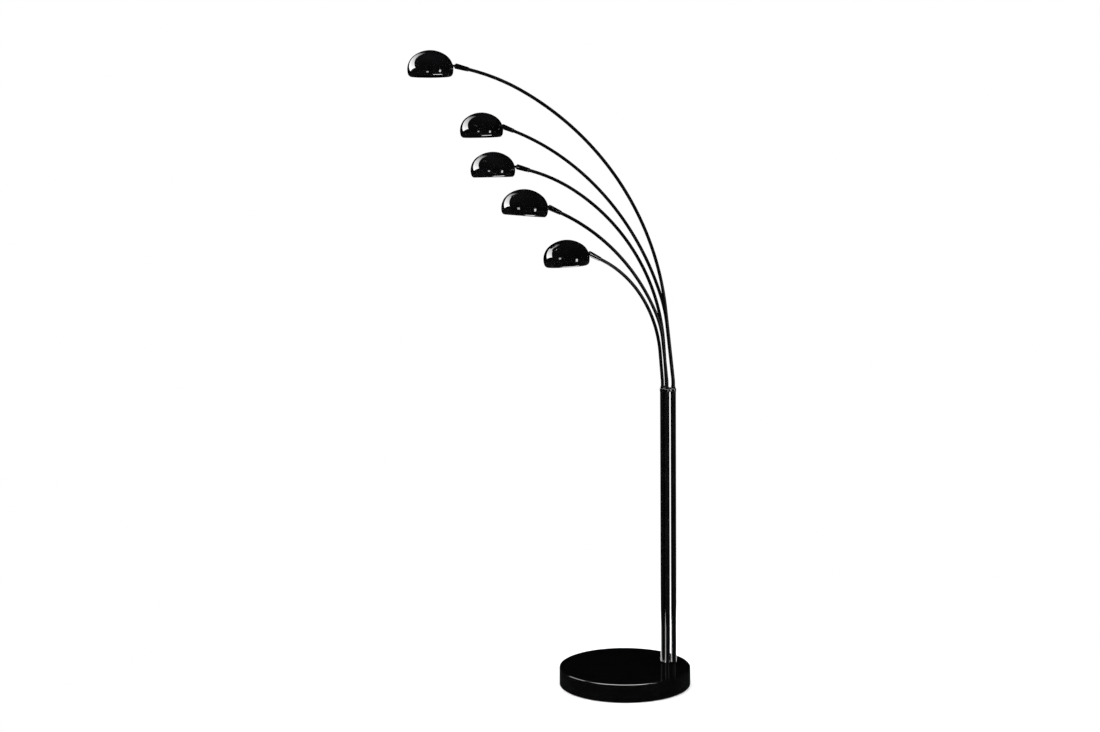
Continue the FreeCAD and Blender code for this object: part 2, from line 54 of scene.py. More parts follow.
# %% Sizes in millimetres
STONE = dict(radius=200.0, low=2.0, top=57.0, top_round=3.5, foot_round=1.5)
STEMS = dict(count=5, offset=144.0, ring=18.0, first=164.0, radius=7.4, wall=1.2, top=897.0)
CAP = dict(top=907.0, lobe=8.1, round=1.5, spigot=14.0)
POCKET = dict(low=1.0, radius=36.0, top=30.0, ledge_radius=44.3, ledge_top=5.0)
INLET = dict(height=20.0, start=170.0, radius=6.05, ledge=197.2, ledge_radius=9.3, end=201.0)
ARM = dict(radius=5.0, wall=1.5, tail=730.7, foot_start=14.0, foot_bend=150.0, tip=48.0)
BALL = dict(radius=6.6, neck=3.25, bore=2.0, socket=6.65, tube_gap=0.3)
SHADE = dict(radius=68.0, rise=56.0, side=50.0, side_deg=15.0, curl=12.0, rim_deg=68.5, wall=1.0,
             stud_height=10.0, stud_rise=8.0, ball_to_wall=9.0, hole=6.05)
HOLDER = dict(low=14.9, top=47.9, neck=3.3, foot=8.0, radius=13.0, groove=12.5, bore=7.25, floor=25.9)
BULB = dict(radius=22.5, above_holder=12.0, shoulder=13.0, cap=20.0)
ARMS = {
    1: dict(slot=3, fan=14.0, lean=6.0, run=210.0, r1=860.0, a1=54.0, r2=610.0, a2=15.0, tilt=0.0),
    2: dict(slot=2, fan=41.0, lean=6.5, run=160.0, r1=420.0, a1=12.0, r2=820.0, a2=50.5, tilt=1.0),
    3: dict(slot=1, fan=24.0, lean=3.5, run=110.0, r1=600.0, a1=53.5, r2=480.0, a2=16.5, tilt=0.5),
    4: dict(slot=4, fan=-5.0, lean=6.0, run=115.0, r1=285.0, a1=18.0, r2=600.0, a2=41.0, tilt=-5.0),
    5: dict(slot=0, fan=-9.0, lean=5.0, run=80.0, r1=360.0, a1=32.5, r2=335.0, a2=26.5, tilt=3.5),
}
print("arms", list(ARMS))

# %% [markdown]
# ## The camera
# The photograph was measured first: where known lengths fall in it gives the lens, the height
# of the camera and the way it looks. The camera is made before anything else, so that every
# later piece can be checked in the same view.

# %% Camera
PHOTO_WIDTH = 1100.0                  # pixels
FOCAL_PIXELS = 1684.82
SENSOR = 36.0
LOOK_DOWN = 6.13                      # degrees below level
ROLL = -0.58
TURN = math.radians(15.75)            # from the photograph's right-hand direction to +X
studio = Matrix.Rotation(-TURN, 4, "Z")   # x right, y away from the camera, z up


def in_studio(x, y, z):
    """A place given as right, away and up in the photograph, in the lamp's own frame."""
    return studio @ Vector((x, y, z))


camera_data = bpy.data.cameras.new("camera")
camera_data.sensor_width = SENSOR
camera_data.lens = SENSOR * FOCAL_PIXELS / PHOTO_WIDTH
camera_data.clip_start = 0.1
camera_data.clip_end = 100.0
camera = bpy.data.objects.new("camera", camera_data)
bpy.context.scene.collection.objects.link(camera)
look = Matrix.Rotation(math.radians(90.0 - LOOK_DOWN), 4, "X") @ Matrix.Rotation(math.radians(ROLL), 4, "Z")
camera.matrix_world = Matrix.Translation(in_studio(-0.21969, -5.03231, 1.52201)) @ studio @ look
bpy.context.scene.camera = camera
bpy.context.scene.view_settings.view_transform = "Standard"
print("camera", [round(v, 3) for v in camera.location], "lens", round(camera_data.lens, 2))

# %% [markdown]
# ## Finishes
# Every finish is a small node tree. A helper makes the tree and hands back its shader; the
# single numbers sit on the shader itself, and only what really varies over the surface, such as
# a faint waviness of lacquer or the grain of stone, comes in through a link.


# %% Helpers for finishes
def new_finish(name, **values):
    """A material with one Principled shader, and the values set on its own sockets."""
    material = bpy.data.materials.new(name)
    material.use_nodes = True
    shader = material.node_tree.nodes["Principled BSDF"]
    for socket, value in values.items():
        shader.inputs[socket.replace("_", " ")].default_value = value
    return material, material.node_tree, shader


def noise(tree, scale, detail=3.0, roughness=0.5, stretch=None):
    """Noise that sits on the object's own coordinates."""
    place = tree.nodes.new("ShaderNodeTexCoord")
    texture = tree.nodes.new("ShaderNodeTexNoise")
    texture.inputs["Scale"].default_value = scale
    texture.inputs["Detail"].default_value = detail
    texture.inputs["Roughness"].default_value = roughness
    if stretch is None:
        tree.links.new(place.outputs["Object"], texture.inputs["Vector"])
    else:
        mapping = tree.nodes.new("ShaderNodeMapping")
        mapping.inputs["Scale"].default_value = stretch
        tree.links.new(place.outputs["Object"], mapping.inputs["Vector"])
        tree.links.new(mapping.outputs["Vector"], texture.inputs["Vector"])
    return texture


def ranged(tree, source, low, high, start=0.3, end=0.7):
    """A value that runs from low to high as the source runs from start to end."""
    node = tree.nodes.new("ShaderNodeMapRange")
    node.inputs["From Min"].default_value = start
    node.inputs["From Max"].default_value = end
    node.inputs["To Min"].default_value = low
    node.inputs["To Max"].default_value = high
    tree.links.new(source, node.inputs["Value"])
    return node.outputs["Result"]


def two_tone(tree, source, first, second, start=0.35, end=0.65):
    """A colour ramp between two colours."""
    ramp = tree.nodes.new("ShaderNodeValToRGB")
    ramp.color_ramp.elements[0].position = start
    ramp.color_ramp.elements[0].color = (*first, 1.0)
    ramp.color_ramp.elements[1].position = end
    ramp.color_ramp.elements[1].color = (*second, 1.0)
    tree.links.new(source, ramp.inputs["Fac"])
    return ramp.outputs["Color"]


def bump(tree, source, strength, distance):
    node = tree.nodes.new("ShaderNodeBump")
    node.inputs["Strength"].default_value = strength
    node.inputs["Distance"].default_value = distance
    tree.links.new(source, node.inputs["Height"])
    return node.outputs["Normal"]


# %% [markdown]
# ### Black lacquer
# The lamp is dipped in a deep black gloss: almost no colour of its own, a hard clear top, and
# highlights with sharp edges. A very low wave in the surface keeps long highlights from looking
# drawn with a ruler, and a faint change of roughness stands for handling.

# %% Black lacquer
def black_lacquer(name, colour, rough_low, rough_high, wave, **values):
    material, tree, shader = new_finish(name, **values)
    cloud = noise(tree, 22.0, 4.0)
    peel = noise(tree, 160.0, 2.0)
    lighter = [c * 1.7 for c in colour]
    tree.links.new(two_tone(tree, cloud.outputs["Fac"], colour, lighter), shader.inputs["Base Color"])
    tree.links.new(ranged(tree, cloud.outputs["Fac"], rough_low, rough_high), shader.inputs["Roughness"])
    normal = bump(tree, peel.outputs["Fac"], wave, 0.0001)
    tree.links.new(normal, shader.inputs["Normal"])
    return material


lacquer = black_lacquer("black lacquer", (0.0022, 0.0022, 0.0025), 0.04, 0.07, 0.02,
                        Specular_IOR_Level=0.5, Coat_Weight=1.0, Coat_Roughness=0.03, Coat_IOR=1.9)
stem_lacquer = black_lacquer("stem lacquer", (0.0025, 0.0025, 0.0028), 0.07, 0.12, 0.015,
                             Specular_IOR_Level=0.3)
print("finishes", lacquer.name, stem_lacquer.name)

# %% [markdown]
# ### The other finishes
# Polished black stone has tiny crystals that only show close to; felt is soft and fibrous;
# plated steel is brushed along its length; the bulb is opal glass with a nickel cap. Only the
# black gloss and the stone show in the photograph, and the others are a sensible guess.


# %% Stone, felt, metals, plastics, glass
def polished_stone():
    material, tree, shader = new_finish("polished black stone", Specular_IOR_Level=0.5,
                                        Coat_Weight=0.6, Coat_Roughness=0.02)
    grain = tree.nodes.new("ShaderNodeTexVoronoi")
    grain.inputs["Scale"].default_value = 420.0
    place = tree.nodes.new("ShaderNodeTexCoord")
    tree.links.new(place.outputs["Object"], grain.inputs["Vector"])
    cloud = noise(tree, 18.0, 5.0, 0.6)
    mixed = tree.nodes.new("ShaderNodeMath")
    mixed.operation = "MULTIPLY"
    tree.links.new(grain.outputs["Distance"], mixed.inputs[0])
    tree.links.new(cloud.outputs["Fac"], mixed.inputs[1])
    dark, crystal = (0.0015, 0.0015, 0.0016), (0.004, 0.004, 0.0044)
    colour = two_tone(tree, mixed.outputs["Value"], dark, crystal, 0.25, 0.55)
    tree.links.new(colour, shader.inputs["Base Color"])
    tree.links.new(ranged(tree, cloud.outputs["Fac"], 0.05, 0.10), shader.inputs["Roughness"])
    tree.links.new(bump(tree, grain.outputs["Distance"], 0.02, 0.0001), shader.inputs["Normal"])
    return material


def fibrous(name, first, second, scale):
    material, tree, shader = new_finish(name, Roughness=0.95, Sheen_Weight=0.35, Sheen_Roughness=0.5)
    fibre = noise(tree, scale, 6.0, 0.7)
    tree.links.new(two_tone(tree, fibre.outputs["Fac"], first, second), shader.inputs["Base Color"])
    tree.links.new(bump(tree, fibre.outputs["Fac"], 0.6, 0.0004), shader.inputs["Normal"])
    return material


def brushed(name, first, second, stretch, rough_low, rough_high, metal=1.0):
    material, tree, shader = new_finish(name, Metallic=metal)
    line = noise(tree, 60.0, 4.0, 0.6, stretch)
    tree.links.new(two_tone(tree, line.outputs["Fac"], first, second), shader.inputs["Base Color"])
    tree.links.new(ranged(tree, line.outputs["Fac"], rough_low, rough_high), shader.inputs["Roughness"])
    tree.links.new(bump(tree, line.outputs["Fac"], 0.08, 0.0001), shader.inputs["Normal"])
    return material


def moulded(name, first, second, rough_low, rough_high, scale=300.0):
    material, tree, shader = new_finish(name)
    skin = noise(tree, scale, 3.0)
    tree.links.new(two_tone(tree, skin.outputs["Fac"], first, second), shader.inputs["Base Color"])
    tree.links.new(ranged(tree, skin.outputs["Fac"], rough_low, rough_high), shader.inputs["Roughness"])
    tree.links.new(bump(tree, skin.outputs["Fac"], 0.12, 0.0001), shader.inputs["Normal"])
    return material


def opal_glass():
    material, tree, shader = new_finish("opal glass", Subsurface_Weight=0.6, Subsurface_Scale=0.004,
                                        Coat_Weight=0.7, Coat_Roughness=0.04,
                                        Subsurface_Radius=(1.0, 0.95, 0.85))
    cloud = noise(tree, 40.0, 2.0)
    colour = two_tone(tree, cloud.outputs["Fac"], (0.83, 0.82, 0.78), (0.90, 0.89, 0.85))
    tree.links.new(colour, shader.inputs["Base Color"])
    tree.links.new(ranged(tree, cloud.outputs["Fac"], 0.16, 0.24), shader.inputs["Roughness"])
    return material


stone = polished_stone()
felt = fibrous("grey felt", (0.028, 0.028, 0.03), (0.065, 0.065, 0.07), 900.0)
zinc = brushed("zinc plated steel", (0.50, 0.50, 0.51), (0.66, 0.66, 0.67), (1.0, 1.0, 14.0), 0.26, 0.38)
brass = brushed("turned brass", (0.60, 0.45, 0.22), (0.72, 0.56, 0.30), (1.0, 1.0, 30.0), 0.2, 0.32)
nickel = brushed("nickel cap", (0.58, 0.57, 0.55), (0.70, 0.69, 0.66), (1.0, 1.0, 20.0), 0.18, 0.3)
dark_chrome = brushed("dark chrome", (0.045, 0.045, 0.05), (0.07, 0.07, 0.075), (1.0, 1.0, 6.0), 0.05, 0.09)
black_plastic = moulded("black holder", (0.010, 0.010, 0.010), (0.018, 0.018, 0.018), 0.38, 0.5)
white_enamel = moulded("white reflector enamel", (0.74, 0.74, 0.72), (0.80, 0.80, 0.78), 0.32, 0.42, 120.0)
sheath = moulded("grey sheath", (0.22, 0.22, 0.23), (0.28, 0.28, 0.29), 0.45, 0.6)
terminal = moulded("terminal plastic", (0.68, 0.67, 0.62), (0.76, 0.75, 0.70), 0.4, 0.55)
opal = opal_glass()
print("finishes made", len(bpy.data.materials))

# %% [markdown]
# ## Turned pieces with Geometry Nodes
# Most of this lamp comes off a lathe: the stone, the shades, the sleeves, the balls. They share
# one rule, an outline swept round an axis, so one node tree makes them all. The outline is a
# chain of points; a grid takes its radius and height from the outline in one direction and its
# angle from the other, and merging closes the seam and the poles.


# %% The lathe tree
def link_chain(tree, *pairs):
    for start, end in pairs:
        tree.links.new(start, end)


def add_math(tree, operation, first, second=None):
    node = tree.nodes.new("ShaderNodeMath")
    node.operation = operation
    for socket, value in zip(node.inputs, (first, second)):
        if value is None:
            continue
        if isinstance(value, (int, float)):
            socket.default_value = value
        else:
            tree.links.new(value, socket)
    return node.outputs["Value"]


def lathe_tree():
    tree = bpy.data.node_groups.new("lathe", "GeometryNodeTree")
    face = tree.interface
    face.new_socket("Outline", in_out="INPUT", socket_type="NodeSocketGeometry")
    segments = face.new_socket("Segments", in_out="INPUT", socket_type="NodeSocketInt")
    segments.default_value = 96
    face.new_socket("Finish", in_out="INPUT", socket_type="NodeSocketMaterial")
    face.new_socket("Geometry", in_out="OUTPUT", socket_type="NodeSocketGeometry")
    nodes = tree.nodes
    given = nodes.new("NodeGroupInput")
    result = nodes.new("NodeGroupOutput")
    size = nodes.new("GeometryNodeAttributeDomainSize")
    grid = nodes.new("GeometryNodeMeshGrid")
    position = nodes.new("GeometryNodeInputPosition")
    split = nodes.new("ShaderNodeSeparateXYZ")
    sample = nodes.new("GeometryNodeSampleIndex")
    sample.data_type = "FLOAT_VECTOR"
    sampled = nodes.new("ShaderNodeSeparateXYZ")
    combine = nodes.new("ShaderNodeCombineXYZ")
    place = nodes.new("GeometryNodeSetPosition")
    merge = nodes.new("GeometryNodeMergeByDistance")
    merge.inputs["Distance"].default_value = 2e-6
    smooth = nodes.new("GeometryNodeSetShadeSmooth")
    realize = nodes.new("GeometryNodeRealizeInstances")
    finish = nodes.new("GeometryNodeSetMaterial")
    tree.links.new(given.outputs["Outline"], size.inputs["Geometry"])
    tree.links.new(add_math(tree, "ADD", given.outputs["Segments"], 1.0), grid.inputs["Vertices X"])
    tree.links.new(size.outputs["Point Count"], grid.inputs["Vertices Y"])
    tree.links.new(position.outputs["Position"], split.inputs["Vector"])
    angle = add_math(tree, "MULTIPLY", add_math(tree, "ADD", split.outputs["X"], 0.5), 2.0 * math.pi)
    last = add_math(tree, "SUBTRACT", size.outputs["Point Count"], 1.0)
    row = add_math(tree, "MULTIPLY", add_math(tree, "ADD", split.outputs["Y"], 0.5), last)
    tree.links.new(given.outputs["Outline"], sample.inputs["Geometry"])
    tree.links.new(position.outputs["Position"], sample.inputs["Value"])
    tree.links.new(add_math(tree, "ROUND", row), sample.inputs["Index"])
    tree.links.new(sample.outputs["Value"], sampled.inputs["Vector"])
    radius = sampled.outputs["X"]
    tree.links.new(add_math(tree, "MULTIPLY", radius, add_math(tree, "COSINE", angle)), combine.inputs["X"])
    tree.links.new(add_math(tree, "MULTIPLY", radius, add_math(tree, "SINE", angle)), combine.inputs["Y"])
    tree.links.new(sampled.outputs["Z"], combine.inputs["Z"])
    link_chain(
        tree,
        (grid.outputs["Mesh"], place.inputs["Geometry"]),
        (combine.outputs["Vector"], place.inputs["Position"]),
        (place.outputs["Geometry"], merge.inputs["Geometry"]),
        (merge.outputs["Geometry"], smooth.inputs["Geometry"]),
        (smooth.outputs["Geometry"], realize.inputs["Geometry"]),
        (realize.outputs["Geometry"], finish.inputs["Geometry"]),
        (given.outputs["Finish"], finish.inputs["Material"]),
        (finish.outputs["Geometry"], result.inputs["Geometry"]),
    )
    return tree


lathe = lathe_tree()
print("tree", lathe.name, len(lathe.nodes), "nodes")

# %% [markdown]
# An outline is written as corners, each with a radius of its own. The helper turns a corner
# into a short arc, and keeps one more point on each side of it, so that smooth shading stays
# tight on the rounding and flat faces stay flat.


# %% Outlines
def rounded_outline(corners, steps=6):
    """Points of an outline through corners (radius, height, rounding), millimetres."""
    points = []
    for index, corner in enumerate(corners):
        here = Vector(corner[:2])
        rounding = corner[2] if len(corner) > 2 else 0.0
        if rounding <= 0.0 or index in (0, len(corners) - 1):
            points.append(here)
            continue
        before = (Vector(corners[index - 1][:2]) - here)
        after = (Vector(corners[index + 1][:2]) - here)
        a, b = before.normalized(), after.normalized()
        half = math.acos(max(-1.0, min(1.0, a.dot(b)))) / 2.0
        reach = rounding / math.tan(half)
        centre = here + (a + b).normalized() * (rounding / math.sin(half))
        start, end = here + a * reach, here + b * reach
        spare = min(0.25, 0.2 * rounding)
        points.append(start + a * spare)
        first = math.atan2(start.y - centre.y, start.x - centre.x)
        turn = math.atan2(end.y - centre.y, end.x - centre.x) - first
        turn = (turn + math.pi) % (2.0 * math.pi) - math.pi
        for step in range(steps + 1):
            angle = first + turn * step / steps
            points.append(centre + Vector((math.cos(angle), math.sin(angle))) * rounding)
        points.append(end + b * spare)
    return points


def arc_points(centre, radius, first, last, steps):
    """Points of an arc from one angle to another, in degrees."""
    angles = [math.radians(first + (last - first) * step / steps) for step in range(steps + 1)]
    return [Vector((centre[0] + radius * math.cos(a), centre[1] + radius * math.sin(a))) for a in angles]


# %% [markdown]
# A modifier's result is turned into a plain mesh at once, in its final place. The normals are
# worked out again after the doubles are gone, because a lathe can turn a shell inside out.


# %% From a modifier to a plain piece
def plain_mesh(source, matrix, name):
    """The evaluated object as a new object with its place in its mesh."""
    graph = bpy.context.evaluated_depsgraph_get()
    mesh = bpy.data.meshes.new_from_object(source.evaluated_get(graph))
    old = source.data
    bpy.data.objects.remove(source)
    if isinstance(old, bpy.types.Mesh):
        bpy.data.meshes.remove(old)
    mesh.name = name
    mesh.transform(matrix)
    work = bmesh.new()
    work.from_mesh(mesh)
    bmesh.ops.remove_doubles(work, verts=work.verts, dist=1e-7)
    bmesh.ops.recalc_face_normals(work, faces=work.faces)
    work.to_mesh(mesh)
    work.free()
    piece = bpy.data.objects.new(name, mesh)
    bpy.context.scene.collection.objects.link(piece)
    return piece


def turned(name, outline, finish, matrix=Matrix.Identity(4), segments=96):
    """A turned piece from an outline in millimetres."""
    mesh = bpy.data.meshes.new(name + " outline")
    points = [(p[0] * MM, 0.0, p[1] * MM) for p in outline]
    mesh.from_pydata(points, [(i, i + 1) for i in range(len(points) - 1)], [])
    source = bpy.data.objects.new(name + " outline", mesh)
    bpy.context.scene.collection.objects.link(source)
    modifier = source.modifiers.new("lathe", "NODES")
    modifier.node_group = lathe
    sockets = {item.name: item.identifier for item in lathe.interface.items_tree if item.in_out == "INPUT"}
    modifier[sockets["Segments"]] = segments
    modifier[sockets["Finish"]] = finish
    return plain_mesh(source, matrix, name)


def put(piece, body, slot, *nodes):
    """The piece rides on its body and its CAD nodes are hidden; the slot argument is not used."""
    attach(piece, body)
    if nodes:
        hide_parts(*nodes)
    return piece


def join(pieces, name):
    """Several plain pieces as one object."""
    graph_mesh = bmesh.new()
    materials = []
    for piece in pieces:
        for material in piece.data.materials:
            if material not in materials:
                materials.append(material)
        offset = [materials.index(m) for m in piece.data.materials]
        start = len(graph_mesh.faces)
        graph_mesh.from_mesh(piece.data)
        graph_mesh.faces.ensure_lookup_table()
        for face in graph_mesh.faces[start:]:
            face.material_index = offset[face.material_index]
    mesh = bpy.data.meshes.new(name)
    graph_mesh.to_mesh(mesh)
    graph_mesh.free()
    for material in materials:
        mesh.materials.append(material)
    for piece in pieces:
        bpy.data.objects.remove(piece)
    result = bpy.data.objects.new(name, mesh)
    bpy.context.scene.collection.objects.link(result)
    return result


def cut(piece, cutter):
    """Take the cutter out of the piece, exactly, and drop the cutter."""
    modifier = piece.modifiers.new("cut", "BOOLEAN")
    modifier.operation = "DIFFERENCE"
    modifier.solver = "EXACT"
    modifier.object = cutter
    graph = bpy.context.evaluated_depsgraph_get()
    mesh = bpy.data.meshes.new_from_object(piece.evaluated_get(graph))
    piece.modifiers.remove(modifier)
    piece.data = mesh
    bpy.data.objects.remove(cutter)
    return piece


# %% [markdown]
# ## The stone base
# A disc of black stone, ground flat and polished, with a small round along its top edge that
# catches a thin line of light. The pocket for the wiring is cut out from below.

# %% Stone base
Z_TO_X = Matrix.Rotation(math.radians(90.0), 4, "Y")
stone_outline = rounded_outline([
    (0.0, STONE["low"]), (STONE["radius"], STONE["low"], STONE["foot_round"]),
    (STONE["radius"], STONE["top"], STONE["top_round"]), (0.0, STONE["top"])], 10)
base = turned("stone_base", stone_outline, stone, segments=256)
middle = Matrix.Translation((STEMS["offset"] * MM, 0.0, 0.0))
for radius, top in ((POCKET["radius"], POCKET["top"]), (POCKET["ledge_radius"], POCKET["ledge_top"])):
    outline = [(0.0, POCKET["low"]), (radius, POCKET["low"]), (radius, top), (0.0, top)]
    base = cut(base, turned("pocket", outline, stone, middle, 128))
inlet_place = Matrix.Translation((0.0, 0.0, INLET["height"] * MM)) @ Z_TO_X
for radius, start in ((INLET["radius"], INLET["start"]), (INLET["ledge_radius"], INLET["ledge"])):
    outline = [(0.0, start), (radius, start), (radius, INLET["end"]), (0.0, INLET["end"])]
    base = cut(base, turned("inlet", outline, stone, inlet_place, 64))
put(base, "stand", "stone", "base_disc")
print("stone faces", len(base.data.polygons))

# %% [markdown]
# ## The bundle of stems
# Five equal tubes stand on one circle, one under each arm. What repeats is a job for Geometry
# Nodes: one tube is turned, and a second tree copies it to the places on the circle.


# %% The ring tree
def ring_tree():
    tree = bpy.data.node_groups.new("ring of pieces", "GeometryNodeTree")
    face = tree.interface
    face.new_socket("Piece", in_out="INPUT", socket_type="NodeSocketGeometry")
    face.new_socket("Count", in_out="INPUT", socket_type="NodeSocketInt")
    face.new_socket("Ring Radius", in_out="INPUT", socket_type="NodeSocketFloat")
    face.new_socket("First Angle", in_out="INPUT", socket_type="NodeSocketFloat")
    face.new_socket("Finish", in_out="INPUT", socket_type="NodeSocketMaterial")
    face.new_socket("Geometry", in_out="OUTPUT", socket_type="NodeSocketGeometry")
    nodes = tree.nodes
    given = nodes.new("NodeGroupInput")
    result = nodes.new("NodeGroupOutput")
    points = nodes.new("GeometryNodePoints")
    index = nodes.new("GeometryNodeInputIndex")
    combine = nodes.new("ShaderNodeCombineXYZ")
    instance = nodes.new("GeometryNodeInstanceOnPoints")
    realize = nodes.new("GeometryNodeRealizeInstances")
    finish = nodes.new("GeometryNodeSetMaterial")
    tree.links.new(given.outputs["Count"], points.inputs["Count"])
    step = add_math(tree, "DIVIDE", 2.0 * math.pi, given.outputs["Count"])
    turn = add_math(tree, "MULTIPLY", index.outputs["Index"], step)
    angle = add_math(tree, "SUBTRACT", given.outputs["First Angle"], turn)
    radius = given.outputs["Ring Radius"]
    tree.links.new(add_math(tree, "MULTIPLY", radius, add_math(tree, "COSINE", angle)), combine.inputs["X"])
    tree.links.new(add_math(tree, "MULTIPLY", radius, add_math(tree, "SINE", angle)), combine.inputs["Y"])
    link_chain(
        tree,
        (combine.outputs["Vector"], points.inputs["Position"]),
        (points.outputs["Points"], instance.inputs["Points"]),
        (given.outputs["Piece"], instance.inputs["Instance"]),
        (instance.outputs["Instances"], realize.inputs["Geometry"]),
        (realize.outputs["Geometry"], finish.inputs["Geometry"]),
        (given.outputs["Finish"], finish.inputs["Material"]),
        (finish.outputs["Geometry"], result.inputs["Geometry"]),
    )
    return tree


ring = ring_tree()


def ring_of(piece, name, finish):
    """Copies of a piece that stands on the Z axis, round the middle of the stems."""
    modifier = piece.modifiers.new("ring", "NODES")
    modifier.node_group = ring
    sockets = {item.name: item.identifier for item in ring.interface.items_tree if item.in_out == "INPUT"}
    modifier[sockets["Count"]] = STEMS["count"]
    modifier[sockets["Ring Radius"]] = STEMS["ring"] * MM
    modifier[sockets["First Angle"]] = math.radians(STEMS["first"])
    modifier[sockets["Finish"]] = finish
    return plain_mesh(piece, middle, name)


def pipe_outline(outer, bore, low, high, rounding=0.4):
    """Closed outline of a pipe: up the outside, over the end and down the bore."""
    return rounded_outline([
        (bore, low), (outer, low, rounding), (outer, high, rounding), (bore, high, rounding), (bore, low)], 3)


# %% Five stems
stem_outline = pipe_outline(STEMS["radius"], STEMS["radius"] - STEMS["wall"], STONE["top"], STEMS["top"])
stem = turned("stem", stem_outline, stem_lacquer, segments=64)
stems = ring_of(stem, "stem_bundle", stem_lacquer)
put(stems, "stand", "black_gloss", "stem_1", "stem_2", "stem_3", "stem_4", "stem_5")
print("stem faces", len(stems.data.polygons))

# %% [markdown]
# ## A copy of a CAD piece
# Pieces that are hidden or have a shape of their own, such as the lobed cap, keep the model's
# surface. The copy is merged first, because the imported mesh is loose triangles; then the edges
# sharper than a set angle are marked, and all the rest is shaded smooth.


# %% Dressing a copy
def dressed(node, name, finish, angle=35.0):
    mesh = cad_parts[node].data.copy()
    mesh.name = name
    work = bmesh.new()
    work.from_mesh(mesh)
    bmesh.ops.remove_doubles(work, verts=work.verts, dist=1e-6)
    limit = math.radians(angle)
    for edge in work.edges:
        edge.smooth = not (len(edge.link_faces) == 2 and edge.calc_face_angle(0.0) > limit)
    for face in work.faces:
        face.smooth = True
        face.material_index = 0
    work.to_mesh(mesh)
    work.free()
    mesh.materials.clear()
    mesh.materials.append(finish)
    piece = bpy.data.objects.new(name, mesh)
    bpy.context.scene.collection.objects.link(piece)
    return piece


cap = put(dressed("top_cap", "lobed_cap", lacquer), "stand", "black_gloss", "top_cap")
for node, name, finish, slot in (
    ("floor_pad", "felt_pad", felt, "felt"),
    ("base_cover", "service_plate", zinc, "zinc"),
    ("cover_screws", "service_screws", zinc, "zinc"),
    ("stem_anchors", "anchors", zinc, "zinc"),
    ("foot_nuts", "flanged_nuts", zinc, "zinc"),
    ("guide_bushes", "arm_guides", brass, "brass"),
    ("terminal_block", "connection_block", terminal, "terminal"),
    ("cord_gland", "cord_inlet", black_plastic, "black_plastic"),
):
    put(dressed(node, name, finish), "stand", slot, node)
print("cap faces", len(cap.data.polygons))

# %% [markdown]
# ## The arms
# Each arm is one steel tube, bent in a plane: upright through the cap, a short bend, a straight
# run, two long bends and a straight end into the joint. A third tree sweeps a circle along that
# line; Solidify then gives the tube its wall.


# %% Bent tube tree
def tube_tree():
    tree = bpy.data.node_groups.new("bent tube", "GeometryNodeTree")
    face = tree.interface
    face.new_socket("Centre Line", in_out="INPUT", socket_type="NodeSocketGeometry")
    face.new_socket("Radius", in_out="INPUT", socket_type="NodeSocketFloat")
    face.new_socket("Sides", in_out="INPUT", socket_type="NodeSocketInt")
    face.new_socket("Finish", in_out="INPUT", socket_type="NodeSocketMaterial")
    face.new_socket("Geometry", in_out="OUTPUT", socket_type="NodeSocketGeometry")
    nodes = tree.nodes
    given = nodes.new("NodeGroupInput")
    result = nodes.new("NodeGroupOutput")
    line = nodes.new("GeometryNodeMeshToCurve")
    circle = nodes.new("GeometryNodeCurvePrimitiveCircle")
    sweep = nodes.new("GeometryNodeCurveToMesh")
    smooth = nodes.new("GeometryNodeSetShadeSmooth")
    realize = nodes.new("GeometryNodeRealizeInstances")
    finish = nodes.new("GeometryNodeSetMaterial")
    link_chain(
        tree,
        (given.outputs["Centre Line"], line.inputs["Mesh"]),
        (given.outputs["Radius"], circle.inputs["Radius"]),
        (given.outputs["Sides"], circle.inputs["Resolution"]),
        (line.outputs["Curve"], sweep.inputs["Curve"]),
        (circle.outputs["Curve"], sweep.inputs["Profile Curve"]),
        (sweep.outputs["Mesh"], smooth.inputs["Geometry"]),
        (smooth.outputs["Geometry"], realize.inputs["Geometry"]),
        (realize.outputs["Geometry"], finish.inputs["Geometry"]),
        (given.outputs["Finish"], finish.inputs["Material"]),
        (finish.outputs["Geometry"], result.inputs["Geometry"]),
    )
    return tree


bent_tube = tube_tree()


def centre_line(arm, low, cut_back, step=1.0):
    """Points of an arm's line in its own plane, outwards and up, and its last angle."""
    x, z, angle = 0.0, low, 0.0
    points = [Vector((x, z))]

    def straight(length, parts):
        nonlocal x, z
        for _ in range(parts):
            x += math.sin(angle) * length / parts
            z += math.cos(angle) * length / parts
            points.append(Vector((x, z)))

    def bend(radius, degrees):
        nonlocal x, z, angle
        parts = max(2, round(degrees / step))
        part = math.radians(degrees) / parts
        chord = 2.0 * radius * math.sin(part / 2.0)
        for _ in range(parts):
            x += math.sin(angle + part / 2.0) * chord
            z += math.cos(angle + part / 2.0) * chord
            angle += part
            points.append(Vector((x, z)))

    straight(CAP["top"] + ARM["foot_start"] - low, 4)
    bend(ARM["foot_bend"], arm["lean"])
    straight(arm["run"], 3)
    bend(arm["r1"], arm["a1"])
    bend(arm["r2"], arm["a2"])
    straight(ARM["tip"] - cut_back, 2)
    return points, angle


# %% Places of the arms
def arm_matrix(arm):
    angle = math.radians(STEMS["first"] - arm["slot"] * 360.0 / STEMS["count"])
    x = STEMS["offset"] + STEMS["ring"] * math.cos(angle)
    y = STEMS["ring"] * math.sin(angle)
    return Matrix.Translation((x * MM, y * MM, 0.0)) @ Matrix.Rotation(math.radians(180.0 - arm["fan"]), 4, "Z")


def ball_matrix(arm, slope):
    """Frame with its origin at the ball and its X axis at a slope, degrees downwards."""
    points, _ = centre_line(arm, ARM["tail"], 0.0)
    tip = points[-1]
    move = Matrix.Translation((tip.x * MM, 0.0, tip.y * MM))
    return arm_matrix(arm) @ move @ Matrix.Rotation(math.radians(slope), 4, "Y")


